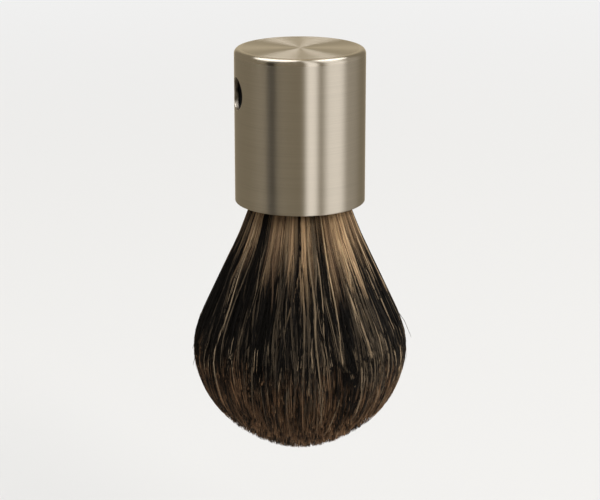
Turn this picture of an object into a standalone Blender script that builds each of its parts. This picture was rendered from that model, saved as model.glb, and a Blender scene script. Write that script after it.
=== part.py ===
"""A shaving brush with a brushed steel handle, held hair down by a rod through its handle.

Metres. +Z is up along the handle's axis, +X runs along the rod hole, and the origin is the
centre of the rod hole. The hair points down, so it lies at negative Z.
"""

import math

import bmesh
import bpy
from mathutils import Matrix

# Driving dimensions.
HANDLE_RADIUS = 0.016
HANDLE_HEIGHT = 0.038
TOP_ROUND = 0.0013
RIM_BEVEL = 0.0003
SHELL_WALL = 0.001
HOLE_RADIUS = 0.004
HOLE_DROP = 0.0105
HAIR_ROOT_RADIUS = 0.0112
HAIR_FREE_LENGTH = 0.064
SHOULDER_DROP = 0.033
SHOULDER_RADIUS = 0.0264

# Sizes of the inner pieces.
GAP = 0.0003
SLEEVE_WALL = 0.001
SOCKET_WALL = 0.0017
SOCKET_DEPTH = 0.0152
RING_THICKNESS = 0.0022
GLUE_WALL = 0.0007
PLUG_HEIGHT = 0.0077
BINDING_CORD_RADIUS = 0.0004
BINDING_TURNS = 5
CHAMFER = 0.0005

# Levels along the axis, and radii from the outside inwards.
TOP = HOLE_DROP
RIM = TOP - HANDLE_HEIGHT
SHELL_INNER = HANDLE_RADIUS - SHELL_WALL
CORE_RADIUS = SHELL_INNER - GAP
CORE_TOP = TOP - SHELL_WALL - GAP
RING_BOTTOM = RIM + GAP
RING_TOP = RING_BOTTOM + RING_THICKNESS
CORE_BOTTOM = RING_TOP + GAP
SOCKET_RADIUS = CORE_RADIUS - SOCKET_WALL
SOCKET_CEILING = CORE_BOTTOM + SOCKET_DEPTH
GLUE_RADIUS = SOCKET_RADIUS - GAP
GLUE_TOP = SOCKET_CEILING - GAP
PLUG_RADIUS = GLUE_RADIUS - GLUE_WALL - GAP
PLUG_TOP = GLUE_TOP - GLUE_WALL - GAP
PLUG_BOTTOM = PLUG_TOP - PLUG_HEIGHT
HAIR_TOP = PLUG_BOTTOM - GAP
SHOULDER = RIM - SHOULDER_DROP
TIP = RIM - HAIR_FREE_LENGTH

# Shape of the hair's rounded end: r = shoulder radius * (1 - t ** DOME_LENGTH) ** DOME_BLUNTNESS.
DOME_LENGTH = 2.48
DOME_BLUNTNESS = 0.63
LOCKS = 18
LOCK_DEPTH = 0.02

# Fineness of the round surfaces.
SHELL_SIDES = 72
INNER_SIDES = 48
HAIR_SIDES = 4 * LOCKS
ROUND_STEPS = 6
DOME_STEPS = 12
FLARE_STEPS = 4
SMOOTH_ANGLE = math.radians(35)
WELD = 1e-6


def clear_scene():
    for thing in list(bpy.data.objects):
        bpy.data.objects.remove(thing)


def make_material(name, colour, roughness, metallic=0.0):
    material = bpy.data.materials.new(name)
    material.use_nodes = True
    shader = material.node_tree.nodes["Principled BSDF"]
    shader.inputs["Base Color"].default_value = (*colour, 1.0)
    shader.inputs["Roughness"].default_value = roughness
    shader.inputs["Metallic"].default_value = metallic
    return material


def arc(centre, radius, start, end, steps):
    """Points (r, z) along a circular arc, its angles in degrees from +r towards +z."""
    points = []
    for step in range(steps + 1):
        angle = math.radians(start + (end - start) * step / steps)
        points.append((centre[0] + radius * math.cos(angle), centre[1] + radius * math.sin(angle)))
    return points


def add_mesh(name, mesh_data, material):
    bmesh.ops.recalc_face_normals(mesh_data, faces=mesh_data.faces)
    mesh = bpy.data.meshes.new(name)
    mesh_data.to_mesh(mesh)
    mesh_data.free()
    mesh.shade_smooth()
    mesh.set_sharp_from_angle(angle=SMOOTH_ANGLE)
    thing = bpy.data.objects.new(name, mesh)
    bpy.context.scene.collection.objects.link(thing)
    if material is not None:
        mesh.materials.append(material)
    return thing


def turned(name, outline, sides, material, reshape=None):
    """A closed solid of revolution about Z, from its outline of (r, z) points.

    An outline that starts and ends on the axis is left open there. Any other is a loop.
    """
    mesh_data = bmesh.new()
    verts = [mesh_data.verts.new((r, 0.0, z)) for r, z in outline]
    edges = [mesh_data.edges.new(pair) for pair in zip(verts, verts[1:])]
    if outline[0][0] > 0.0:
        edges.append(mesh_data.edges.new((verts[-1], verts[0])))
    bmesh.ops.spin(
        mesh_data,
        geom=verts + edges,
        cent=(0.0, 0.0, 0.0),
        axis=(0.0, 0.0, 1.0),
        angle=math.tau,
        steps=sides,
        use_merge=True,
    )
    bmesh.ops.remove_doubles(mesh_data, verts=mesh_data.verts, dist=WELD)
    if reshape is not None:
        for vert in mesh_data.verts:
            reshape(vert)
    return add_mesh(name, mesh_data, material)


def make_cutter(name, radius, length, sides, lengthwise):
    """A plain cylinder along X, or along Z when lengthwise, that only shapes other pieces."""
    turn = Matrix() if lengthwise else Matrix.Rotation(math.radians(90), 4, "Y")
    mesh_data = bmesh.new()
    bmesh.ops.create_cone(
        mesh_data,
        cap_ends=True,
        segments=sides,
        radius1=radius,
        radius2=radius,
        depth=length,
        matrix=turn,
    )
    cutter = add_mesh(name, mesh_data, None)
    cutter.hide_render = True
    cutter.display_type = "WIRE"
    return cutter


def apply_cutter(thing, cutter, operation):
    modifier = thing.modifiers.new(cutter.name, "BOOLEAN")
    modifier.operation = operation
    modifier.solver = "EXACT"
    modifier.object = cutter


def build_handle_shell(material):
    """Drawn cup, closed on top, with the two holes that the rod passes through."""
    inner_round = TOP_ROUND - SHELL_WALL
    ceiling = TOP - SHELL_WALL
    outline = [(0.0, TOP)]
    outline += arc((HANDLE_RADIUS - TOP_ROUND, TOP - TOP_ROUND), TOP_ROUND, 90, 0, ROUND_STEPS)
    outline += [
        (HANDLE_RADIUS, RIM + RIM_BEVEL),
        (HANDLE_RADIUS - RIM_BEVEL, RIM),
        (SHELL_INNER, RIM),
        (SHELL_INNER, ceiling - inner_round),
        (SHELL_INNER - inner_round, ceiling),
        (0.0, ceiling),
    ]
    shell = turned("handle_shell", outline, SHELL_SIDES, material)
    drill = make_cutter("rod_hole_drill", HOLE_RADIUS, 3 * HANDLE_RADIUS, INNER_SIDES, False)
    apply_cutter(shell, drill, "DIFFERENCE")


def build_handle_core(material):
    """Moulded plug with a cross passage for the sleeve and a socket for the knot."""
    outline = [
        (0.0, CORE_TOP),
        (CORE_RADIUS - CHAMFER, CORE_TOP),
        (CORE_RADIUS, CORE_TOP - CHAMFER),
        (CORE_RADIUS, CORE_BOTTOM),
        (SOCKET_RADIUS, CORE_BOTTOM),
        (SOCKET_RADIUS, SOCKET_CEILING),
        (0.0, SOCKET_CEILING),
    ]
    core = turned("handle_core", outline, INNER_SIDES, material)
    passage_radius = HOLE_RADIUS + SLEEVE_WALL + GAP
    passage = make_cutter("sleeve_passage", passage_radius, 3 * HANDLE_RADIUS, INNER_SIDES, False)
    apply_cutter(core, passage, "DIFFERENCE")


def build_hanger_sleeve(material):
    """Tube along X that lines the rod hole, its ends shaped to the inside of the shell."""
    half_length = HANDLE_RADIUS
    outer = HOLE_RADIUS + SLEEVE_WALL
    outline = [
        (HOLE_RADIUS, half_length),
        (outer, half_length),
        (outer, -half_length),
        (HOLE_RADIUS, -half_length),
    ]
    sleeve = turned("hanger_sleeve", outline, INNER_SIDES, material)
    sleeve.data.transform(Matrix.Rotation(math.radians(90), 4, "Y"))
    end_shape = make_cutter("sleeve_end_shape", CORE_RADIUS, 2 * HANDLE_HEIGHT, SHELL_SIDES, True)
    apply_cutter(sleeve, end_shape, "INTERSECT")


def build_mouth_ring(material):
    """Turned ring in the shell's open end, with a rounded lip where the hair comes out."""
    inner = HAIR_ROOT_RADIUS + GAP
    outline = [
        (inner, RING_TOP),
        (CORE_RADIUS, RING_TOP),
        (CORE_RADIUS, RING_BOTTOM + RIM_BEVEL),
        (CORE_RADIUS - RIM_BEVEL, RING_BOTTOM),
    ]
    outline += arc((inner + CHAMFER, RING_BOTTOM + CHAMFER), CHAMFER, 270, 180, ROUND_STEPS)
    turned("mouth_ring", outline, SHELL_SIDES, material)


def build_glue_bed(material):
    """Cup of glue over the knot's plug, inside the socket."""
    inner = GLUE_RADIUS - GLUE_WALL
    outline = [
        (0.0, GLUE_TOP),
        (GLUE_RADIUS, GLUE_TOP),
        (GLUE_RADIUS, PLUG_BOTTOM),
        (inner, PLUG_BOTTOM),
        (inner, GLUE_TOP - GLUE_WALL),
        (0.0, GLUE_TOP - GLUE_WALL),
    ]
    turned("glue_bed", outline, INNER_SIDES, material)


def build_knot_plug(material):
    """Cast puck that the hairs are set in."""
    outline = [
        (0.0, PLUG_TOP),
        (PLUG_RADIUS - CHAMFER, PLUG_TOP),
        (PLUG_RADIUS, PLUG_TOP - CHAMFER),
        (PLUG_RADIUS, PLUG_BOTTOM + CHAMFER),
        (PLUG_RADIUS - CHAMFER, PLUG_BOTTOM),
        (0.0, PLUG_BOTTOM),
    ]
    turned("knot_plug", outline, INNER_SIDES, material)


def build_knot_binding(material):
    """Turns of thread, side by side, round the hairs just below the plug."""
    inner = HAIR_ROOT_RADIUS + GAP
    top = HAIR_TOP - GAP
    pitch = 2 * BINDING_CORD_RADIUS
    outline = [(inner, top)]
    for turn in range(BINDING_TURNS):
        centre = (inner + BINDING_CORD_RADIUS, top - pitch * (turn + 0.5))
        outline += arc(centre, BINDING_CORD_RADIUS, 80, -80, 3)
    outline.append((inner, top - pitch * BINDING_TURNS))
    turned("knot_binding", outline, INNER_SIDES, material)


def dome_radius(share):
    """Radius of the hair's rounded end, at this share of the way from its shoulder to its tip."""
    return SHOULDER_RADIUS * (1.0 - share ** DOME_LENGTH) ** DOME_BLUNTNESS


def draw_lock(vert):
    """Press shallow valleys into the free hair, deepest at its shoulder, so that locks stand out."""
    below_rim = RIM - vert.co.z
    if below_rim <= 0.0:
        return
    depth = LOCK_DEPTH * min(1.0, below_rim / SHOULDER_DROP)
    angle = math.atan2(vert.co.y, vert.co.x)
    scale = 1.0 - 0.5 * depth * (1.0 - math.cos(LOCKS * angle))
    vert.co.x *= scale
    vert.co.y *= scale


def build_hair_bundle(material):
    """The hair as one soft solid: straight in the socket, a straight flare, then a dome."""
    outline = [(0.0, HAIR_TOP), (HAIR_ROOT_RADIUS, HAIR_TOP)]
    for step in range(FLARE_STEPS):
        share = step / FLARE_STEPS
        radius = HAIR_ROOT_RADIUS + (SHOULDER_RADIUS - HAIR_ROOT_RADIUS) * share
        outline.append((radius, RIM - SHOULDER_DROP * share))
    for step in range(DOME_STEPS):
        share = math.sin(math.radians(90 * step / DOME_STEPS))
        outline.append((dome_radius(share), SHOULDER + (TIP - SHOULDER) * share))
    outline.append((0.0, TIP))
    turned("hair_bundle", outline, HAIR_SIDES, material, reshape=draw_lock)


def build():
    clear_scene()
    steel = make_material("brushed_steel", (0.56, 0.53, 0.48), 0.32, 1.0)
    turned_steel = make_material("turned_steel", (0.5, 0.48, 0.44), 0.38, 1.0)
    core_plastic = make_material("core_plastic", (0.18, 0.18, 0.17), 0.6)
    sleeve_plastic = make_material("sleeve_plastic", (0.02, 0.02, 0.02), 0.5)
    resin = make_material("resin", (0.5, 0.36, 0.16), 0.3)
    glue = make_material("glue", (0.75, 0.7, 0.55), 0.35)
    thread = make_material("thread", (0.72, 0.66, 0.52), 0.85)
    hair = make_material("hair", (0.09, 0.06, 0.04), 0.6)
    build_handle_shell(steel)
    build_handle_core(core_plastic)
    build_hanger_sleeve(sleeve_plastic)
    build_mouth_ring(turned_steel)
    build_glue_bed(glue)
    build_knot_plug(resin)
    build_knot_binding(thread)
    build_hair_bundle(hair)


build()
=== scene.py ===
"""Looks of the hanging shaving brush: brushed steel handle, and hair made of separate tapered strands.

Metres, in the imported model's frame: +Z up along the handle, +X along the rod hole, hair at -Z.
"""

import math

import bmesh
import bpy
import numpy as np
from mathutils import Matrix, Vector


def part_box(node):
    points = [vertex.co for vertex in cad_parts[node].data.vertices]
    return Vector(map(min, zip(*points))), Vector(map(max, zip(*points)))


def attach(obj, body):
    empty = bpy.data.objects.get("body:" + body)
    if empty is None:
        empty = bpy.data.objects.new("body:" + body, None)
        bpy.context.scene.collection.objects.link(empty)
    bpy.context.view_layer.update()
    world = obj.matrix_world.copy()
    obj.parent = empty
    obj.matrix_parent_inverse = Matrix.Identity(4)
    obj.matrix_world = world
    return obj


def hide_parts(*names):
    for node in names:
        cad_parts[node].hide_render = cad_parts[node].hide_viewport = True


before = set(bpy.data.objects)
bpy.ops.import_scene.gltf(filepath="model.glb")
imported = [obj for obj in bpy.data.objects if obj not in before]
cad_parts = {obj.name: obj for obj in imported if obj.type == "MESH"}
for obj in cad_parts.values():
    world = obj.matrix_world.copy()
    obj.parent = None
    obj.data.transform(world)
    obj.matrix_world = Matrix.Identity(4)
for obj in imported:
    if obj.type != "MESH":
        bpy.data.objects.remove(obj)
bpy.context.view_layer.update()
MM = 0.001
TINY = 1e-12  # keeps a division from meeting zero

# ---------------------------------------------------------------- sizes read from the frame
SHELL_LOW, SHELL_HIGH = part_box("handle_shell")
RING_LOW, RING_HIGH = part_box("mouth_ring")
HAIR_LOW, HAIR_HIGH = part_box("hair_bundle")
SLEEVE_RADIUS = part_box("hanger_sleeve")[1].z
HANDLE_RADIUS = SHELL_HIGH.x
TOP = SHELL_HIGH.z
RIM = SHELL_LOW.z


def hair_outline():
    """Root radius, shoulder radius and shoulder depth below the rim, from the CAD hair solid."""
    points = np.array([vert.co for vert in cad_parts["hair_bundle"].data.vertices])
    radius = np.hypot(points[:, 0], points[:, 1])
    widest = radius.argmax()
    above_rim = points[:, 2] > RIM - 0.1 * MM
    return radius[above_rim].max(), radius[widest], RIM - points[widest, 2]


ROOT_RADIUS, SHOULDER_RADIUS, SHOULDER_DEPTH = hair_outline()
HAIR_DEPTH = RIM - HAIR_LOW.z
FLARE = (SHOULDER_RADIUS - ROOT_RADIUS) / SHOULDER_DEPTH
MIDDLE = Vector((0.0, 0.0, 0.5 * (TOP + HAIR_LOW.z)))

# ---------------------------------------------------------------- sizes of the handle's finish
SHELL_WALL = 1.0 * MM
TOP_ROUND = 1.3 * MM
RIM_ROUND = 0.3 * MM
SLEEVE_WALL = 1.0 * MM
HOLE_RADIUS = SLEEVE_RADIUS - SLEEVE_WALL
HOLE_EDGE_ROUND = 0.3 * MM
RING_GAP = 0.3 * MM
RING_LIP = 0.5 * MM
RING_EDGE = 0.3 * MM
HANDLE_SIDES = 240
HOLE_SIDES = 96
SHARP_ANGLE = math.radians(40)

# ---------------------------------------------------------------- materials
# The range that the values of a noise texture mostly fill.
NOISE_RANGE = (0.3, 0.7)
CLOUD_SCALE = 400.0

# Steel: how much of its grain is fine, how far its colour and roughness vary with the grain, and the
# share of its roughness that is left on the polished top edge. The polish starts POLISH_START
# roundings before the corner, and is complete after POLISH_FADE roundings more.
FINE_SHARE = 0.7
STEEL_TINTS = (0.93, 1.06)
ROUGH_SPREAD = 0.03
EDGE_POLISH = 0.6
POLISH_START = 1.4
POLISH_FADE = 0.4
QUARTER_TURN = 0.25


def node_adder(tree):
    """A function that adds nodes to the tree. An input is a value, or another node's output to link."""

    def add(kind, inputs=None, **settings):
        node = tree.nodes.new(kind)
        for key, value in settings.items():
            setattr(node, key, value)
        for key, value in (inputs or {}).items():
            if isinstance(value, bpy.types.NodeSocket):
                tree.links.new(value, node.inputs[key])
            else:
                node.inputs[key].default_value = value
        return node

    return add


def new_material(name):
    """A material, its Principled shader, a function that adds nodes and one that links to the shader."""
    material = bpy.data.materials.new(name)
    material.use_nodes = True
    tree = material.node_tree
    shader = tree.nodes["Principled BSDF"]

    def link(output, key):
        tree.links.new(output, shader.inputs[key])

    return material, shader, node_adder(tree), link


def maths(add, operation, first, second=0.0):
    return add("ShaderNodeMath", {0: first, 1: second}, operation=operation).outputs["Value"]


def scaled(add, vector, amount):
    return add("ShaderNodeVectorMath", {0: vector, "Scale": amount}, operation="SCALE").outputs["Vector"]


def noise(add, vector, scale, detail):
    inputs = {"Vector": vector, "Scale": scale, "Detail": detail}
    return add("ShaderNodeTexNoise", inputs).outputs["Fac"]


def bump(add, strength, distance, height):
    inputs = {"Strength": strength, "Distance": distance, "Height": height}
    return add("ShaderNodeBump", inputs).outputs["Normal"]


def map_range(add, value, before, after, smooth=False):
    """The value moved from one range to another, and held at its ends."""
    inputs = {
        "Value": value,
        "From Min": before[0],
        "From Max": before[1],
        "To Min": after[0],
        "To Max": after[1],
    }
    interpolation = "SMOOTHSTEP" if smooth else "LINEAR"
    return add("ShaderNodeMapRange", inputs, interpolation_type=interpolation).outputs["Result"]


def ramp(add, factor, stops):
    """Colour ramp output; stops are (position, (r, g, b))."""
    node = add("ShaderNodeValToRGB", {"Fac": factor})
    elements = node.color_ramp.elements
    while len(elements) < len(stops):
        elements.new(0.5)
    for element, (position, colour) in zip(elements, stops):
        element.position = position
        element.color = (*colour, 1.0)
    return node.outputs["Color"]


def tinted(add, pattern, colour, darkest, lightest):
    """The colour, made darker and lighter by a noise pattern, between these shares of it."""
    dark = tuple(darkest * channel for channel in colour)
    light = tuple(min(1.0, lightest * channel) for channel in colour)
    return ramp(add, pattern, [(NOISE_RANGE[0], dark), (NOISE_RANGE[1], light)])


def mixed_colours(add, factor, first, second, blend_type="MIX"):
    inputs = {0: factor, 6: first, 7: second}
    return add("ShaderNodeMix", inputs, data_type="RGBA", blend_type=blend_type).outputs[2]


def plain_material(name, colour, roughness, grain_scale, grain_depth):
    """Moulded or cast surface: one colour with slight clouding and a fine surface grain."""
    material, shader, add, link = new_material(name)
    place = add("ShaderNodeTexCoord").outputs["Object"]
    clouds = noise(add, place, CLOUD_SCALE, detail=3.0)
    link(tinted(add, clouds, colour, darkest=0.8, lightest=1.2), "Base Color")
    shader.inputs["Roughness"].default_value = roughness
    grain = noise(add, place, grain_scale, detail=2.0)
    link(bump(add, strength=0.4, distance=grain_depth, height=grain), "Normal")
    return material


def steel_material(name, colour, roughness, grain_depth):
    """Steel worked while it turned: every line of its grain runs round the handle's axis."""
    material, shader, add, link = new_material(name)
    place = add("ShaderNodeTexCoord").outputs["Object"]
    split = add("ShaderNodeSeparateXYZ", {"Vector": place})
    x, y, z = split.outputs["X"], split.outputs["Y"], split.outputs["Z"]
    squares = maths(add, "ADD", maths(add, "MULTIPLY", x, x), maths(add, "MULTIPLY", y, y))
    radius = maths(add, "SQRT", squares)
    across = maths(add, "SUBTRACT", radius, z)

    def grain(across_scale, along_scale, detail):
        inputs = {
            "X": maths(add, "MULTIPLY", x, along_scale),
            "Y": maths(add, "MULTIPLY", y, along_scale),
            "Z": maths(add, "MULTIPLY", across, across_scale),
        }
        vector = add("ShaderNodeCombineXYZ", inputs).outputs["Vector"]
        return noise(add, vector, 1.0, detail)

    fine = grain(across_scale=6000.0, along_scale=60.0, detail=3.0)
    broad = grain(across_scale=900.0, along_scale=20.0, detail=2.0)
    fine_part = maths(add, "MULTIPLY", fine, FINE_SHARE)
    broad_part = maths(add, "MULTIPLY", broad, 1.0 - FINE_SHARE)
    lines = maths(add, "ADD", fine_part, broad_part)
    link(tinted(add, lines, colour, *STEEL_TINTS), "Base Color")
    shader.inputs["Metallic"].default_value = 1.0
    shader.inputs["Anisotropic"].default_value = 1.0
    shader.inputs["Anisotropic Rotation"].default_value = QUARTER_TURN
    tangent = add("ShaderNodeTangent", direction_type="RADIAL", axis="Z")
    link(tangent.outputs["Tangent"], "Tangent")

    spread = (roughness - ROUGH_SPREAD, roughness + ROUGH_SPREAD)
    brushed = map_range(add, lines, NOISE_RANGE, spread)
    outer = maths(add, "ADD", radius, z)
    corner = HANDLE_RADIUS + TOP - POLISH_START * TOP_ROUND
    polish_span = (corner, corner + POLISH_FADE * TOP_ROUND)
    polish = map_range(add, outer, polish_span, (1.0, EDGE_POLISH), smooth=True)
    link(maths(add, "MULTIPLY", brushed, polish), "Roughness")
    link(bump(add, strength=0.25, distance=grain_depth, height=fine), "Normal")
    return material


def hair_material():
    """Badger-type hair, coloured by its UV map: dark to light across it, and root to tip up it."""
    material, shader, add, link = new_material("hair_strands")
    palette = add("ShaderNodeUVMap", uv_map="OFBake").outputs["UV"]
    split = add("ShaderNodeSeparateXYZ", {"Vector": palette})
    lightness, along = split.outputs["X"], split.outputs["Y"]

    def banded(root, band, tip):
        """Colours from root to tip: a pale root, a wide dark band and a brown tip with a paler point."""
        blend = tuple(0.5 * (a + b) for a, b in zip(root, band))
        point = tuple(1.5 * channel for channel in tip)
        stops = [
            (0.0, root),
            (0.04, root),
            (0.15, blend),
            (0.27, band),
            (0.72, band),
            (0.92, tip),
            (1.0, point),
        ]
        return ramp(add, along, stops)

    dark = banded(root=(0.17, 0.105, 0.063), band=(0.003, 0.0026, 0.0025), tip=(0.009, 0.006, 0.0045))
    medium = banded(root=(0.55, 0.37, 0.21), band=(0.006, 0.0052, 0.005), tip=(0.175, 0.095, 0.048))
    light = banded(root=(0.6, 0.445, 0.265), band=(0.36, 0.27, 0.175), tip=(0.27, 0.175, 0.1))
    double = maths(add, "MULTIPLY", lightness, 2.0)
    lower = add("ShaderNodeClamp", {"Value": double}).outputs["Result"]
    upper = add("ShaderNodeClamp", {"Value": maths(add, "SUBTRACT", double, 1.0)}).outputs["Result"]
    darker_half = mixed_colours(add, lower, dark, medium)
    link(mixed_colours(add, upper, darker_half, light), "Base Color")
    shader.inputs["Roughness"].default_value = 0.38
    shader.inputs["Specular IOR Level"].default_value = 0.22
    return material


def underhair_shade_material():
    """The dense hair below the outer strands, coloured far darker than the hair itself as painted shade
    for the gaps between strands: streaks that darken away from the roots.
    """
    material, shader, add, link = new_material("underhair_painted_shade")
    place = add("ShaderNodeTexCoord").outputs["Object"]
    height = add("ShaderNodeSeparateXYZ", {"Vector": place}).outputs["Z"]
    depth = map_range(add, height, (RIM, HAIR_LOW.z), (0.0, 1.0))
    # Painted shade: these colours stand for the shadow in the gaps between strands, much darker than the
    # hair's own colour.
    root, middle, tip = (0.05, 0.03, 0.018), (0.012, 0.008, 0.006), (0.01, 0.007, 0.005)
    body = ramp(add, depth, [(0.0, root), (0.25, middle), (1.0, tip)])
    stretch = {0: place, 1: (900.0, 900.0, 60.0)}
    stretched = add("ShaderNodeVectorMath", stretch, operation="MULTIPLY").outputs["Vector"]
    streaks = noise(add, stretched, 1.0, detail=3.0)
    shade = ramp(add, streaks, [(0.35, (0.35, 0.35, 0.35)), (0.7, (1.6, 1.5, 1.4))])
    link(mixed_colours(add, 1.0, body, shade, blend_type="MULTIPLY"), "Base Color")
    shader.inputs["Roughness"].default_value = 0.75
    link(bump(add, strength=0.6, distance=0.2 * MM, height=streaks), "Normal")
    return material


# ---------------------------------------------------------------- mesh helpers
def arc(centre, radius, start, end, steps):
    """Points (r, z) along a circular arc, its angles in degrees from +r towards +z."""
    points = []
    for step in range(steps + 1):
        angle = math.radians(start + (end - start) * step / steps)
        points.append((centre[0] + radius * math.cos(angle), centre[1] + radius * math.sin(angle)))
    return points


def straight(start, end, steps):
    """Points strictly between start and end, evenly spaced."""
    shares = [step / steps for step in range(1, steps)]
    return [tuple(a + (b - a) * share for a, b in zip(start, end)) for share in shares]


def shade_round(mesh):
    mesh.shade_smooth()
    mesh.set_sharp_from_angle(angle=SHARP_ANGLE)


def add_object(name, mesh_data, material=None):
    bmesh.ops.recalc_face_normals(mesh_data, faces=mesh_data.faces)
    mesh = bpy.data.meshes.new(name)
    mesh_data.to_mesh(mesh)
    mesh_data.free()
    shade_round(mesh)
    thing = bpy.data.objects.new(name, mesh)
    bpy.context.scene.collection.objects.link(thing)
    if material is not None:
        mesh.materials.append(material)
    return thing


def turned(name, outline, sides, material):
    """A closed solid of revolution about Z. An outline that starts on the axis also ends there."""
    mesh_data = bmesh.new()
    verts = [mesh_data.verts.new((r, 0.0, z)) for r, z in outline]
    edges = [mesh_data.edges.new(pair) for pair in zip(verts, verts[1:])]
    if outline[0][0] > 0.0:
        edges.append(mesh_data.edges.new((verts[-1], verts[0])))
    bmesh.ops.spin(
        mesh_data,
        geom=verts + edges,
        cent=(0.0, 0.0, 0.0),
        axis=(0.0, 0.0, 1.0),
        angle=math.tau,
        steps=sides,
        use_merge=True,
    )
    bmesh.ops.remove_doubles(mesh_data, verts=mesh_data.verts, dist=0.001 * MM)
    return add_object(name, mesh_data, material)


def cut(thing, cutter):
    """Cuts the cutter's shape out of the object's mesh, and removes the cutter."""
    modifier = thing.modifiers.new("cut", "BOOLEAN")
    modifier.object = cutter
    modifier.solver = "EXACT"
    bpy.context.view_layer.update()
    evaluated = thing.evaluated_get(bpy.context.evaluated_depsgraph_get())
    finished = bpy.data.meshes.new_from_object(evaluated)
    thing.modifiers.remove(modifier)
    old = thing.data
    thing.data = finished
    bpy.data.meshes.remove(old)
    finished.name = thing.name
    bpy.data.objects.remove(cutter)


# ---------------------------------------------------------------- handle
def hole_cutter(side):
    """Drill through one wall, flared at the outer face so that it leaves a rounded edge."""
    inner_end, flare_start, outer_end = -3.0 * MM, -1.4 * MM, 1.5 * MM
    mouth_radius = HOLE_RADIUS + 2.0 * HOLE_EDGE_ROUND
    profile = [(HOLE_RADIUS, inner_end), (HOLE_RADIUS, flare_start)]
    for radius, height in arc((HOLE_EDGE_ROUND, -HOLE_EDGE_ROUND), HOLE_EDGE_ROUND, 180, 100, 5):
        profile.append((HOLE_RADIUS + radius, height))
    profile += [(mouth_radius, HOLE_EDGE_ROUND), (mouth_radius, outer_end)]
    mesh_data = bmesh.new()
    rings = []
    for radius, height in profile:
        ring = []
        for step in range(HOLE_SIDES):
            angle = math.tau * step / HOLE_SIDES
            y, z = radius * math.cos(angle), radius * math.sin(angle)
            wall = math.sqrt(HANDLE_RADIUS**2 - y * y)
            ring.append(mesh_data.verts.new((side * (wall + height), y, z)))
        rings.append(ring)
    for inner, outer in zip(rings, rings[1:]):
        for step in range(HOLE_SIDES):
            after = (step + 1) % HOLE_SIDES
            mesh_data.faces.new((inner[step], inner[after], outer[after], outer[step]))
    mesh_data.faces.new(rings[0])
    mesh_data.faces.new(rings[-1])
    return add_object("drill", mesh_data)


def make_handle(material):
    """Drawn cup with a rounded top edge, a crisp rim and the two rod holes."""
    inner = HANDLE_RADIUS - SHELL_WALL
    ceiling = TOP - SHELL_WALL
    round_centre = (HANDLE_RADIUS - TOP_ROUND, TOP - TOP_ROUND)
    rim_centre = (HANDLE_RADIUS - RIM_ROUND, RIM + RIM_ROUND)
    wall_top, wall_bottom = (HANDLE_RADIUS, TOP - TOP_ROUND), (HANDLE_RADIUS, RIM + RIM_ROUND)
    outline = [(0.0, TOP)] + straight((0.0, TOP), (round_centre[0], TOP), steps=12)
    outline += arc(round_centre, TOP_ROUND, 90, 0, steps=12)
    outline += straight(wall_top, wall_bottom, steps=60)
    outline += arc(rim_centre, RIM_ROUND, 0, -90, steps=5)
    outline += [(inner, RIM), (inner, ceiling), (0.0, ceiling)]
    handle = turned("steel_handle", outline, HANDLE_SIDES, material)
    for side in (-1, 1):
        cut(handle, hole_cutter(side))
    shade_round(handle.data)
    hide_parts("handle_shell")
    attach(handle, "root")


def make_mouth_ring(material):
    """Turned ring round the hair's root, with a rounded lip."""
    inner, outer = ROOT_RADIUS + RING_GAP, RING_HIGH.x
    edge_centre = (outer - RING_EDGE, RING_LOW.z + RING_EDGE)
    lip_centre = (inner + RING_LIP, RING_LOW.z + RING_LIP)
    outline = [(inner, RING_HIGH.z), (outer, RING_HIGH.z)]
    outline += arc(edge_centre, RING_EDGE, 0, -90, steps=5)
    outline += arc(lip_centre, RING_LIP, 270, 180, steps=8)
    ring = turned("steel_mouth_ring", outline, HANDLE_SIDES, material)
    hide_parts("mouth_ring")
    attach(ring, "root")


# ---------------------------------------------------------------- outline of the hair
# The rounded end has radius (1 - t ** DOME_LENGTH) ** DOME_BLUNTNESS, t running from shoulder to tip.
DOME_LENGTH = 2.48
DOME_BLUNTNESS = 0.63
DOME_SWELL = 1.02  # the rounded end is this much wider than the CAD shoulder, before it is eased
SHOULDER_EASE = 2.6 * MM  # how softly the straight side turns into the rounded end
TIP_REACH = HAIR_DEPTH + 0.6 * MM  # depth at which the rounded end would close
DEPTH_STEPS = 400

# The side hairs fan out a little less from EASE_START on, over EASE_LENGTH, by EASE_SHARE in the end.
EASE_START = 28.0 * MM
EASE_LENGTH = 12.0 * MM
EASE_SHARE = 0.45


def flare_radius(depth):
    """Distance from the axis of a hair rooted at the root's edge: a straight flare that eases off."""
    past = np.clip(depth - EASE_START, 0.0, EASE_LENGTH)
    beyond = np.maximum(depth - EASE_START - EASE_LENGTH, 0.0)
    eased = EASE_SHARE * (past**2 / (2.0 * EASE_LENGTH) + beyond)
    return ROOT_RADIUS + FLARE * (np.maximum(depth, 0.0) - eased)


def dome_radius(depth):
    """Radius of the hair's rounded end at a depth below the rim."""
    share = np.clip((depth - SHOULDER_DEPTH) / (TIP_REACH - SHOULDER_DEPTH), 0.0, 1.0)
    return DOME_SWELL * SHOULDER_RADIUS * (1.0 - share**DOME_LENGTH) ** DOME_BLUNTNESS


def edge_radius(depth):
    """Radius of the hair's outline at a depth: the straight side, eased into the rounded end."""
    side = ROOT_RADIUS + FLARE * np.maximum(depth, 0.0)
    end = dome_radius(depth)
    blend = np.clip(0.5 + 0.5 * (end - side) / SHOULDER_EASE, 0.0, 1.0)
    return end * (1.0 - blend) + side * blend - SHOULDER_EASE * blend * (1.0 - blend)


def tip_depth(spread):
    """Depth at which a hair rooted at this share of the root radius reaches the rounded end."""
    depths = np.linspace(SHOULDER_DEPTH, TIP_REACH, DEPTH_STEPS)
    reached = dome_radius(depths) / flare_radius(depths)
    return np.interp(spread, reached[::-1], depths[::-1])


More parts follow.
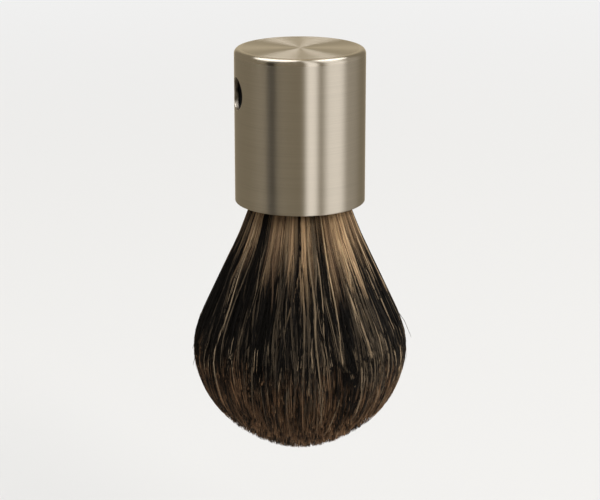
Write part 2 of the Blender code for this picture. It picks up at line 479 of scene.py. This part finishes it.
# ---------------------------------------------------------------- places of the hairs
# Places on the root disc and shifts across it are shares of the root radius.
SIDE_ROOTS = 0.88  # the side hairs are rooted from here outwards
HAIR_SEED = 7410  # picked by a search, so that the streaks in front lie roughly as in the photo
LOCK_COUNT = 1600
LOCKS_PER_STREAK = 12
LOCK_LEAN = 0.012  # how far a lock leans to one side
LOCK_GATHER = 0.4  # how far its tufts are drawn towards its middle
SEAM_WIDTH = 0.03  # a lock lies on a seam if its two nearest streaks are equally near, to within this
DRIFT = 0.06  # how far a tuft wanders on its own
STRAY_SHARE = 0.05  # share of the tufts that wander STRAY_GAIN times as far
STRAY_GAIN = 3.0
SETTLE_START = 0.1  # how far a tuft has moved to its landing place at the root
SETTLE_CURVE = 1.4
WAVE_GROWTH = 3.0  # a tuft's waves have their full width from 1 / WAVE_GROWTH of the way down
WAVE_TURNS = (0.6, 2.0)  # number of waves along a tuft
WAVE_SKEW = 1.3  # how much faster they run one way than the other

ROOT_TUCK = 2.0 * MM  # a side hair starts this far above the rim
OVERHANG = 14.0 * MM  # and runs on over the rounded end by up to this much
START_SINK = 0.15  # the upper end of an end hair lies this share of its radius nearer the axis
TIP_SCATTER = 0.06 * MM
SHORT_SHARE = 0.35  # share of the tufts that end early, by up to SHORTFALL
SHORTFALL = 0.6 * MM

HAIR_SPACING = 0.1 * MM  # how far apart the hairs of a tuft lie at its root
SPACING_GROWTH = 1.4  # they spread by this share on the way down
SPACING_CLOSE = 1.2  # and close up again by this share towards the tip
HAIR_LOOSENESS = 0.12 * MM  # how far a hair strays from its tuft by its tip
SLACK = 0.04 * MM  # how far a hair stands off the outline
FLYAWAY_SHARE = 0.001
FLYAWAY_SLACK = (0.4 * MM, 1.6 * MM)

# ---------------------------------------------------------------- colours of the hairs
# Lightness runs from 0, dark all along, through 0.5 to 1, pale all along.
# The side towards the key light. Tufts there are painted paler, and tufts on the far side darker: partly
# the hair's own tone, partly painted light and shade.
LIT_PALE_SIDE = np.array([0.94, -0.34])  # the side with the most pale hairs
STREAK_TONE = 0.12
LOCK_TONE = 0.13
# Lightness taken off the locks on a seam between streaks: painted shade for the shadowed gaps between
# locks.
SEAM_PAINTED_SHADE = 0.13
BASE_LIGHTNESS = 0.41
HAIR_TONE = 0.04
DARK_DROP = 0.4  # how much darker the dark tufts are
LIGHTEST = 0.57  # the limit for a tuft that isn't pale
# The lower limit on the side away from the key light is painted shade.
SHADED_SIDE_LOSS = 0.07  # how much lower that limit is on the dark side

# The chance that a tuft is pale: a little anywhere, and more in some streaks and on the side towards the
# key light, where it is partly painted light.
PALE_CHANCE = 0.04
STREAK_PALE = 0.4
PALE_EVEN = 0.55
PALE_TILT = 0.6
PALE_LIMITS = (0.12, 0.85)
PALE_LEAST = 0.52  # lightness of the dullest pale tuft
PALE_CURVE = 1.5
PALE_HAIRS = 0.75  # share of a pale tuft's hairs that are pale

# How far along the hair its dark band is shifted, as a share of the bundle's depth.
STREAK_SHIFT = 0.09
LOCK_SHIFT = 0.05
# The dark band starts later on the side towards the key light: partly the hair's own colour, partly
# painted light.
LIT_SIDE_SHIFT = 0.04
TUFT_SHIFT = 0.05
END_SHIFT_SHARE = 0.4
END_SHIFT = 0.07
BROWN_ENDS = 11.0 * MM  # hairs that end this far past the shoulder have fully brown ends
BROWN_CURVE = 8


def on_disc(rng, spread):
    """Places on the root disc at these shares of its radius, at any angle."""
    angle = rng.uniform(0.0, math.tau, len(spread))
    return np.stack([spread * np.cos(angle), spread * np.sin(angle)], axis=1)


def rim_roots(rng, count):
    """Roots of the hairs that form the flared side, all near the edge of the root disc."""
    return on_disc(rng, np.sqrt(rng.uniform(SIDE_ROOTS**2, 1.0, count)))


def dome_roots(rng, count):
    """Roots of hairs whose tips cover the rounded end evenly."""
    depths = np.linspace(SHOULDER_DEPTH, TIP_REACH, DEPTH_STEPS)
    radii = dome_radius(depths)
    strip = np.hypot(np.diff(radii), np.diff(depths)) * 0.5 * (radii[1:] + radii[:-1])
    covered = np.concatenate([[0.0], np.cumsum(strip)]) / strip.sum()
    depth = np.interp(rng.random(count), covered, depths)
    return on_disc(rng, np.minimum(1.0, dome_radius(depth) / flare_radius(depth)))


def nearest(points, centres):
    """Index of the nearest centre to each point, and how much further off the next one is."""
    gaps = np.sqrt(((points[:, None, :] - centres[None, :, :]) ** 2).sum(axis=2))
    closest = np.partition(gaps, 1, axis=1)
    return gaps.argmin(axis=1), closest[:, 1] - closest[:, 0]


class Locks:
    """The locks that tufts gather in: how each one leans, and the colours of the streak it lies in, with
    painted shade on the seams between streaks and partly painted light and shade by side.
    """

    def __init__(self, rng, count):
        self.centres = on_disc(rng, np.sqrt(rng.random(count)))
        self.lean = rng.normal(0.0, LOCK_LEAN, (count, 2))
        self.gather = rng.uniform(0.0, LOCK_GATHER, count)
        streaks = on_disc(rng, np.sqrt(rng.random(count // LOCKS_PER_STREAK)))
        streak, edge = nearest(self.centres, streaks)
        # How far a lock lies towards the key light. It is painted paler there and darker on the far side:
        # partly the hair's own tone, partly painted light and shade.
        lit_side = self.centres @ LIT_PALE_SIDE

        self.tone = rng.normal(0.0, STREAK_TONE, len(streaks))[streak]
        self.tone += rng.normal(0.0, LOCK_TONE, count)
        # Locks on a seam get painted shade, for the shadowed gaps between locks.
        self.tone -= SEAM_PAINTED_SHADE * (edge < SEAM_WIDTH)
        self.early = rng.normal(0.0, STREAK_SHIFT, len(streaks))[streak]
        self.early += rng.normal(0.0, LOCK_SHIFT, count)
        # Painted light: later dark band towards the key light, earlier on the shaded side.
        self.early -= LIT_SIDE_SHIFT * lit_side
        self.pale = rng.uniform(0.0, STREAK_PALE, len(streaks))[streak]
        self.pale *= np.clip(PALE_EVEN + PALE_TILT * lit_side, *PALE_LIMITS)
        self.lightest = LIGHTEST + SHADED_SIDE_LOSS * np.minimum(lit_side, 0.0)


def tuft_landings(rng, roots, locks, lock, kind):
    """Where on the root disc each tuft would be rooted, if it ran straight to where its tip lands."""
    gather = kind["clumping"] * locks.gather[lock][:, None]
    drift = rng.normal(0.0, DRIFT, (len(roots), 2)) + locks.lean[lock]
    drift[rng.random(len(roots)) < STRAY_SHARE] *= STRAY_GAIN
    landing = roots * (1.0 - gather) + locks.centres[lock] * gather + drift
    spread, landed = np.linalg.norm(roots, axis=1), np.linalg.norm(landing, axis=1)
    return landing * (spread / np.maximum(landed, TINY))[:, None]


def tuft_paths(rng, roots, locks, kind):
    """Centre lines of the tufts, (tuft, ring, xy), their depths, and each tuft's lock.

    A tuft of no given length starts at its root, and any other starts that far above its tip.
    """
    rings, length = kind["rings"], kind["length"]
    count = len(roots)
    lock, _ = nearest(roots, locks.centres)
    landing = tuft_landings(rng, roots, locks, lock, kind)

    short = rng.uniform(0.0, SHORTFALL, count) * (rng.random(count) < SHORT_SHARE)
    scatter = np.abs(rng.normal(0.0, TIP_SCATTER, count))
    tips = tip_depth(np.linalg.norm(roots, axis=1)) - short - scatter
    if length is None:
        tips = tips + rng.uniform(0.0, OVERHANG, count)
        start = np.full(count, -ROOT_TUCK)
    else:
        start = tips - length
    last = (tips - start - kind["point"]) / (tips - start)
    share = (np.linspace(0.0, 1.0, rings - 1) ** kind["crowding"])[None, :] * last[:, None]
    share = np.concatenate([share, np.ones((count, 1))], axis=1)
    depth = start[:, None] + (tips - start)[:, None] * share
    fall = np.clip(depth / tips[:, None], 0.0, 1.0)

    settle = (SETTLE_START + (1.0 - SETTLE_START) * fall**SETTLE_CURVE)[:, :, None]
    spot = roots[:, None, :] * (1.0 - settle) + landing[:, None, :] * settle
    spot = spot * flare_radius(depth)[:, :, None]
    if length is not None:
        spot = spot * (1.0 - START_SINK * (1.0 - share) ** 2)[:, :, None]
    wave = rng.uniform(*kind["wave"], count)[:, None] * np.clip(WAVE_GROWTH * fall, 0.0, 1.0)
    turns = rng.uniform(*WAVE_TURNS, count)[:, None]
    phase = rng.uniform(0.0, math.tau, count)[:, None]
    angle = math.tau * turns * fall + phase
    spot = spot + np.stack([wave * np.sin(angle), wave * np.cos(WAVE_SKEW * angle)], axis=2)
    return spot, depth, lock


def strand_paths(rng, spot, depth, kind):
    """Centre lines of the hairs, (hair, ring, xyz): some hairs to each tuft, kept inside the outline."""
    hairs = kind["hairs"]
    sink = np.repeat(rng.exponential(kind["sink"], len(depth)), hairs)[:, None]
    spot, depth = np.repeat(spot, hairs, axis=0), np.repeat(depth, hairs, axis=0)
    count = len(depth)
    fall = np.clip(depth / depth[:, -1:], 0.0, 1.0)
    spacing = (1.0 + SPACING_GROWTH * fall - SPACING_CLOSE * fall**3)[:, :, None]
    apart = rng.normal(0.0, HAIR_SPACING, (count, 2))[:, None, :] * spacing
    loose = rng.normal(0.0, HAIR_LOOSENESS, (count, 2))[:, None, :] * (fall**2)[:, :, None]
    depth = depth - np.abs(rng.normal(0.0, TIP_SCATTER, count))[:, None] * fall
    spot = spot + apart + loose

    slack = rng.exponential(SLACK, count)
    flyaway = rng.random(count) < FLYAWAY_SHARE
    slack[flyaway] = rng.uniform(*FLYAWAY_SLACK, flyaway.sum())
    slack = slack[:, None] * fall**2
    radius = np.maximum(np.linalg.norm(spot, axis=2), TINY)
    limit = np.maximum(edge_radius(depth) - sink, 0.0)
    spot = spot * ((np.minimum(radius, limit) + slack) / radius)[:, :, None]
    return np.concatenate([spot, (RIM - depth)[:, :, None]], axis=2)


def hair_colours(rng, lock, locks, kind):
    """Each hair's lightness, and how early its dark band starts and ends, by its tuft and lock."""
    count, hairs = len(lock), kind["hairs"]
    tuft = BASE_LIGHTNESS + kind["contrast"] * locks.tone[lock] + rng.normal(0.0, kind["mottle"], count)
    tuft -= DARK_DROP * (rng.random(count) < kind["dark_share"])
    tuft = np.clip(tuft, 0.0, locks.lightest[lock])
    lightness = np.repeat(tuft, hairs) + rng.normal(0.0, HAIR_TONE, count * hairs)

    is_pale = rng.random(count) < PALE_CHANCE + locks.pale[lock]
    pale = is_pale * (PALE_LEAST + (1.0 - PALE_LEAST) * rng.random(count) ** PALE_CURVE)
    pale = np.repeat(pale, hairs) * (rng.random(count * hairs) < PALE_HAIRS)
    lightness = np.clip(np.maximum(lightness, pale), 0.0, 1.0)

    early = locks.early[lock] + rng.normal(0.0, TUFT_SHIFT, count)
    late = END_SHIFT_SHARE * locks.early[lock] + rng.normal(0.0, END_SHIFT, count)
    return lightness, np.repeat(early, hairs), np.repeat(late, hairs)


# ---------------------------------------------------------------- meshes of the hairs
STRAND_SIDES = 3
ROOT_WIDTH = 0.5  # a hair's width at its root, as a share of its full width
WIDENING = 1.5
TIP_WIDTH = 0.7  # its width where its point begins
NARROWING = 0.3  # the last share of its length, over which it narrows to that
PALETTE_COLUMNS = 64
COLUMN_MARGIN = 0.1
PALETTE_MARGIN = 0.01
UNDERHAIR_SIDES = 96


def strand_verts(points, thickness):
    """Vertices of the hairs, (hair, vertex, xyz): rings round each centre line, and last its tip."""
    count, rings = points.shape[:2]
    body = rings - 1
    along = np.gradient(points, axis=1)
    along /= np.linalg.norm(along, axis=2, keepdims=True)
    outward = points * np.array([1.0, 1.0, 0.0])
    side = np.cross(along, outward)
    side /= np.maximum(np.linalg.norm(side, axis=2, keepdims=True), TINY)
    front = np.cross(side, along)

    share = np.linspace(0.0, 1.0, rings)[:body]
    taper = np.minimum(1.0, ROOT_WIDTH + WIDENING * share)
    taper *= np.clip((1.0 - share) / NARROWING, TIP_WIDTH, 1.0)
    width = (thickness[:, None] * taper[None, :])[:, :, None]
    corners = []
    for turn in range(STRAND_SIDES):
        angle = math.tau * turn / STRAND_SIDES
        offset = math.cos(angle) * front[:, :body] + math.sin(angle) * side[:, :body]
        corners.append(points[:, :body] + offset * width)
    tube = np.stack(corners, axis=2).reshape(count, body * STRAND_SIDES, 3)
    return np.concatenate([tube, points[:, -1:, :]], axis=1)


def strand_faces(rings):
    """Faces of one hair, and the place of each corner: its share of the way round, and its ring."""
    sides = [(turn, (turn + 1) % STRAND_SIDES) for turn in range(STRAND_SIDES)]
    faces, places = [], []
    for ring in range(rings - 2):
        low, high = ring * STRAND_SIDES, (ring + 1) * STRAND_SIDES
        for turn, after in sides:
            left, right = turn / STRAND_SIDES, (turn + 1) / STRAND_SIDES
            faces.append((low + turn, low + after, high + after, high + turn))
            places.append(((left, ring), (right, ring), (right, ring + 1), (left, ring + 1)))

    faces.append(tuple(reversed(range(STRAND_SIDES))))
    places.append(tuple((turn / (STRAND_SIDES - 1), 0) for turn in range(STRAND_SIDES)))
    low, tip = (rings - 2) * STRAND_SIDES, (rings - 1) * STRAND_SIDES
    for turn, after in sides:
        left, right = turn / STRAND_SIDES, (turn + 1) / STRAND_SIDES
        faces.append((low + turn, low + after, tip))
        places.append(((left, rings - 2), (right, rings - 2), (0.5 * (left + right), rings - 1)))
    return faces, places


def palette_uvs(points, lightness, early, late, places):
    """Place of each face corner in the palette: across it by lightness, and up it from root to tip."""
    column = np.minimum(PALETTE_COLUMNS - 1, (lightness * PALETTE_COLUMNS).astype(int))
    across = COLUMN_MARGIN + (1.0 - 2.0 * COLUMN_MARGIN) * places[:, 0]

    depth = np.maximum(RIM - points[:, :, 2], 0.0)
    tip = depth[:, -1:]
    fall = depth / tip
    browned = np.clip((tip - SHOULDER_DEPTH) / BROWN_ENDS, 0.0, 1.0) * (1.0 - tip / HAIR_DEPTH)
    height = depth / HAIR_DEPTH + browned * fall**BROWN_CURVE
    height += early[:, None] * (1.0 - fall) + late[:, None] * fall
    height = PALETTE_MARGIN + (1.0 - 2.0 * PALETTE_MARGIN) * np.clip(height, 0.0, 1.0)

    uv = np.empty((len(points), len(places), 2), np.float32)
    uv[:, :, 0] = (column[:, None] + across[None, :]) / PALETTE_COLUMNS
    uv[:, :, 1] = height[:, places[:, 1].astype(int)]
    return uv


def strand_mesh(name, points, thickness, colours, material):
    """One mesh of closed, tapered hairs, with their places in the palette as its UV map."""
    count, rings = points.shape[:2]
    verts = strand_verts(points, thickness)
    faces, places = strand_faces(rings)
    corners = np.concatenate(faces)
    sizes = [len(face) for face in faces]
    starts = np.cumsum([0] + sizes[:-1])
    strand = np.arange(count)[:, None]
    vertex_indices = strand * verts.shape[1] + corners[None, :]
    loop_starts = strand * len(corners) + starts[None, :]

    mesh = bpy.data.meshes.new(name)
    mesh.vertices.add(count * verts.shape[1])
    mesh.vertices.foreach_set("co", verts.astype(np.float32).ravel())
    mesh.loops.add(count * len(corners))
    mesh.loops.foreach_set("vertex_index", vertex_indices.astype(np.int32).ravel())
    mesh.polygons.add(count * len(faces))
    mesh.polygons.foreach_set("loop_start", loop_starts.astype(np.int32).ravel())
    mesh.update(calc_edges=True)
    mesh.shade_smooth()
    layer = mesh.uv_layers.new(name="OFBake")
    layer.data.foreach_set("uv", palette_uvs(points, *colours, np.concatenate(places)).ravel())
    mesh.materials.append(material)
    thing = bpy.data.objects.new(name, mesh)
    bpy.context.scene.collection.objects.link(thing)
    return thing


# What is said below about each kind of hair:
#   place       where on the root disc its tufts are rooted
#   tufts       number of tufts in each of its four pieces
#   hairs       number of hairs in each tuft
#   rings       number of points along a hair
#   crowding    below 1, those points lie closer together towards the tip
#   length      how much of a hair is built, up from its tip, or None for all of it
#   point       length of its pointed end
#   radius      range of its half thickness
#   clumping    how strongly its lock gathers it, as a share of the lock's own strength
#   wave        range of the half width of a tuft's waves
#   sink        how far below the outline a tuft stays, on average
#   contrast    how strongly the tone of its lock shows
#   mottle      how much neighbouring tufts differ in tone
#   dark_share  share of its tufts that are dark

# Hairs that form the flared side, from the root down and over the shoulder.
SIDE_HAIR = {
    "place": rim_roots,
    "tufts": 705,
    "hairs": 4,
    "rings": 13,
    "crowding": 0.6,
    "length": None,
    "point": 3.0 * MM,
    "radius": (0.05 * MM, 0.085 * MM),
    "clumping": 1.0,
    "wave": (0.1 * MM, 0.85 * MM),
    "sink": 0.3 * MM,
    "contrast": 1.0,
    "mottle": 0.17,
    "dark_share": 0.27,
}

# The lower part of the hairs whose tips form the rounded end.
END_HAIR = {
    "place": dome_roots,
    "tufts": 2350,
    "hairs": 3,
    "rings": 6,
    "crowding": 1.0,
    "length": 16.0 * MM,
    "point": 0.5 * MM,
    "radius": (0.055 * MM, 0.09 * MM),
    "clumping": 0.5,
    "wave": (0.1 * MM, 0.7 * MM),
    "sink": 0.3 * MM,
    "contrast": 1.8,
    "mottle": 0.28,
    "dark_share": 0.5,
}


def make_hair(material):
    rng = np.random.default_rng(HAIR_SEED)
    locks = Locks(rng, LOCK_COUNT)
    for part, kind in (("side", SIDE_HAIR), ("end", END_HAIR)):
        for order in ("first", "second", "third", "fourth"):
            roots = kind["place"](rng, kind["tufts"])
            spot, depth, lock = tuft_paths(rng, roots, locks, kind)
            points = strand_paths(rng, spot, depth, kind)
            colours = hair_colours(rng, lock, locks, kind)
            thickness = rng.uniform(*kind["radius"], len(points))
            hair = strand_mesh(f"hair_{part}_{order}", points, thickness, colours, material)
            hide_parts("hair_bundle")
            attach(hair, "root")


def make_underhair(material):
    """Dark body inside the strands, so that no light passes through the hair. Its dark colour is painted
    shade for the gaps between strands.
    """
    inset = 0.86
    clearance = 5.0 * MM
    side_points, end_points = 12, 24
    outline = [(0.0, HAIR_HIGH.z), (ROOT_RADIUS * inset, HAIR_HIGH.z)]
    for depth in np.linspace(0.0, SHOULDER_DEPTH, side_points):
        outline.append(((ROOT_RADIUS + FLARE * depth) * inset, RIM - depth))
    for share in np.linspace(0.0, 1.0, end_points)[1:-1]:
        along = math.sin(share * math.pi / 2)
        depth = SHOULDER_DEPTH + (HAIR_DEPTH - clearance - SHOULDER_DEPTH) * along
        radius = SHOULDER_RADIUS * inset * (1.0 - along**DOME_LENGTH) ** DOME_BLUNTNESS
        outline.append((radius, RIM - depth))
    outline.append((0.0, HAIR_LOW.z + clearance))
    underhair_painted_shade = turned("underhair_painted_shade", outline, UNDERHAIR_SIDES, material)
    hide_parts("hair_bundle")
    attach(underhair_painted_shade, "root")


# ---------------------------------------------------------------- studio
# Azimuths in the studio count from the camera's side, right positive, and all angles are in degrees.
CAMERA_AZIMUTH = -15.0
CAMERA_DISTANCE = 0.485
CAMERA_HEIGHT = 0.092  # above the handle's top
CAMERA_LENS = 122.0
FLOOR_DROP = 0.155  # from the handle's top to the floor
FLOOR_RADIUS = 6.0
FLOOR_COLOUR = (0.34, 0.34, 0.337)
FLOOR_FADE = (0.4, 1.4)  # the floor turns into the backdrop between these distances
FLOOR_GLOW = 0.45  # share of the backdrop's brightness that the floor has near the brush
BACKDROP = 0.9
SOFTBOX_DISTANCE = 2.2
SOFT_LEVEL = 0.5

# Soft boxes: name, azimuth, elevation, size, power, colour.
SOFTBOXES = [
    ("key", 48, 30, 1.3, 42, (1.0, 0.96, 0.9)),
    ("overhead", -20, 78, 1.8, 27, (1.0, 0.99, 0.97)),
    ("fill", -70, 15, 1.5, 8, (1.0, 0.97, 0.92)),
    ("rear", 165, 30, 1.3, 11, (1.0, 0.98, 0.95)),
]

# Tall soft lights as the steel sees them: azimuth, half width and soft edge, brightness.
TALL_LIGHTS = [
    (21.5, 4.0, 13.0, 0.88),
    (65.0, 9.0, 20.0, 0.75),
    (98.0, 6.0, 34.0, 0.16),
]

# Tall parts of the room in the same terms, with the share by which each one is lighter or darker.
ROOM_SHADES = [
    (-52.0, 2.0, 13.0, -0.85),
    (180.0, 8.0, 20.0, 1.15),
]

# Round soft lights above: azimuth, elevation, half width and soft edge, brightness.
HIGH_LIGHTS = [
    (-105.0, 66.0, 19.0, 8.0, 2.2),
    (112.0, 60.0, 13.0, 8.0, 2.2),
]
LIGHT_COLOUR = (1.0, 0.97, 0.93)
ROOM_COLOUR = (0.24, 0.205, 0.145)


def direction_of(azimuth, elevation):
    """Unit vector towards a place in the studio."""
    a, e = math.radians(CAMERA_AZIMUTH + azimuth), math.radians(elevation)
    return Vector((math.sin(a) * math.cos(e), -math.cos(a) * math.cos(e), math.sin(e)))


def aim(thing, target):
    thing.rotation_mode = "QUATERNION"
    thing.rotation_quaternion = (target - thing.location).to_track_quat("-Z", "Y")


def make_floor():
    """Pale round floor that glows more with distance, until it matches the backdrop."""
    mesh_data = bmesh.new()
    bmesh.ops.create_circle(mesh_data, cap_ends=True, segments=128, radius=FLOOR_RADIUS)
    bmesh.ops.translate(mesh_data, verts=mesh_data.verts, vec=(0.0, 0.0, TOP - FLOOR_DROP))
    material, shader, add, link = new_material("floor_white")
    shader.inputs["Roughness"].default_value = 0.9
    shader.inputs["Specular IOR Level"].default_value = 0.0
    shader.inputs["Emission Color"].default_value = (1.0, 1.0, 1.0, 1.0)
    place = add("ShaderNodeTexCoord").outputs["Object"]
    distance = add("ShaderNodeVectorMath", {0: place}, operation="LENGTH").outputs["Value"]
    fade = map_range(add, distance, FLOOR_FADE, (FLOOR_GLOW, 1.0), smooth=True)
    link(maths(add, "MULTIPLY", fade, BACKDROP), "Emission Strength")
    link(ramp(add, fade, [(FLOOR_GLOW, FLOOR_COLOUR), (1.0, (0.0, 0.0, 0.0))]), "Base Color")
    floor = add_object("floor", mesh_data, material)
    floor.visible_glossy = False


def make_lights():
    """Soft boxes that light the brush but don't show in its steel or in the picture."""
    for name, azimuth, elevation, size, power, colour in SOFTBOXES:
        light = bpy.data.lights.new(name, "AREA")
        light.shape = "SQUARE"
        light.size = size
        light.energy = power
        light.color = colour
        thing = bpy.data.objects.new(name, light)
        bpy.context.scene.collection.objects.link(thing)
        thing.location = MIDDLE + direction_of(azimuth, elevation) * SOFTBOX_DISTANCE
        aim(thing, MIDDLE)
        thing.visible_camera = False
        thing.visible_glossy = False


def make_world():
    """Pale behind the object, soft all round for its shading, and a warm dim room in its reflections."""
    world = bpy.data.worlds.new("studio")
    bpy.context.scene.world = world
    world.use_nodes = True
    world.node_tree.nodes.clear()
    add = node_adder(world.node_tree)
    ray = add("ShaderNodeTexCoord").outputs["Generated"]
    flatten = {0: ray, 1: (1.0, 1.0, 0.0)}
    flat = add("ShaderNodeVectorMath", flatten, operation="MULTIPLY").outputs["Vector"]
    level = add("ShaderNodeVectorMath", {0: flat}, operation="NORMALIZE").outputs["Vector"]

    def glow(seen_along, azimuth, elevation, half_width, edge, brightness):
        """Full brightness within the half width of the light's direction, and none past its soft edge."""
        compared = {0: seen_along, 1: tuple(direction_of(azimuth, elevation))}
        cosine = add("ShaderNodeVectorMath", compared, operation="DOT_PRODUCT").outputs["Value"]
        angle = maths(add, "ARCCOSINE", cosine)
        soft_edge = (math.radians(half_width + edge), math.radians(half_width))
        return map_range(add, angle, soft_edge, (0.0, brightness), smooth=True)

    def background(colour, strength=1.0):
        inputs = {"Color": colour, "Strength": strength}
        return add("ShaderNodeBackground", inputs).outputs["Background"]

    def either(factor, first, second):
        return add("ShaderNodeMixShader", {0: factor, 1: first, 2: second}).outputs["Shader"]

    lit = 0.0
    for azimuth, *rest in TALL_LIGHTS:
        lit = maths(add, "ADD", lit, glow(level, azimuth, 0.0, *rest))
    for light in HIGH_LIGHTS:
        lit = maths(add, "ADD", lit, glow(ray, *light))
    shade = 1.0
    for azimuth, *rest in ROOM_SHADES:
        shade = maths(add, "ADD", shade, glow(level, azimuth, 0.0, *rest))
    lights_and_walls = {0: scaled(add, LIGHT_COLOUR, lit), 1: scaled(add, ROOM_COLOUR, shade)}
    room = add("ShaderNodeVectorMath", lights_and_walls, operation="ADD").outputs["Vector"]

    path = add("ShaderNodeLightPath").outputs
    soft = background((1.0, 0.99, 0.97, 1.0), SOFT_LEVEL)
    backdrop = background((1.0, 1.0, 1.0, 1.0), BACKDROP)
    shaded = either(path["Is Glossy Ray"], soft, background(room))
    add("ShaderNodeOutputWorld", {"Surface": either(path["Is Camera Ray"], shaded, backdrop)})


def make_camera():
    data = bpy.data.cameras.new("camera")
    camera = bpy.data.objects.new("camera", data)
    bpy.context.scene.collection.objects.link(camera)
    camera.location = direction_of(0.0, 0.0) * CAMERA_DISTANCE
    camera.location.z = TOP + CAMERA_HEIGHT
    aim(camera, MIDDLE)
    data.lens = CAMERA_LENS
    data.clip_start = 0.01
    data.clip_end = 50.0
    bpy.context.scene.camera = camera


def main():
    bpy.context.scene.view_settings.view_transform = "Standard"
    make_camera()
    make_handle(steel_material("brushed_steel_grain", (0.68, 0.64, 0.58), 0.31, 0.004 * MM))
    make_mouth_ring(steel_material("turned_steel_rings", (0.55, 0.51, 0.45), 0.36, 0.006 * MM))
    # For each inner piece: colour, roughness, and the scale and depth of its surface grain.
    inner_materials = {
        "hanger_sleeve": plain_material("black_sleeve", (0.012, 0.012, 0.012), 0.5, 3000.0, 0.01 * MM),
        "handle_core": plain_material("moulded_core", (0.16, 0.16, 0.15), 0.6, 2500.0, 0.02 * MM),
        "glue_bed": plain_material("set_glue", (0.72, 0.66, 0.5), 0.3, 700.0, 0.05 * MM),
        "knot_plug": plain_material("amber_resin", (0.48, 0.33, 0.14), 0.28, 500.0, 0.03 * MM),
        "knot_binding": plain_material("waxed_thread", (0.68, 0.61, 0.46), 0.8, 5000.0, 0.04 * MM),
    }
    for node, material in inner_materials.items():
        for material_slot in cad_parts[node].material_slots:
            material_slot.material = material
    make_underhair(underhair_shade_material())
    make_hair(hair_material())
    make_floor()
    make_lights()
    make_world()


main()
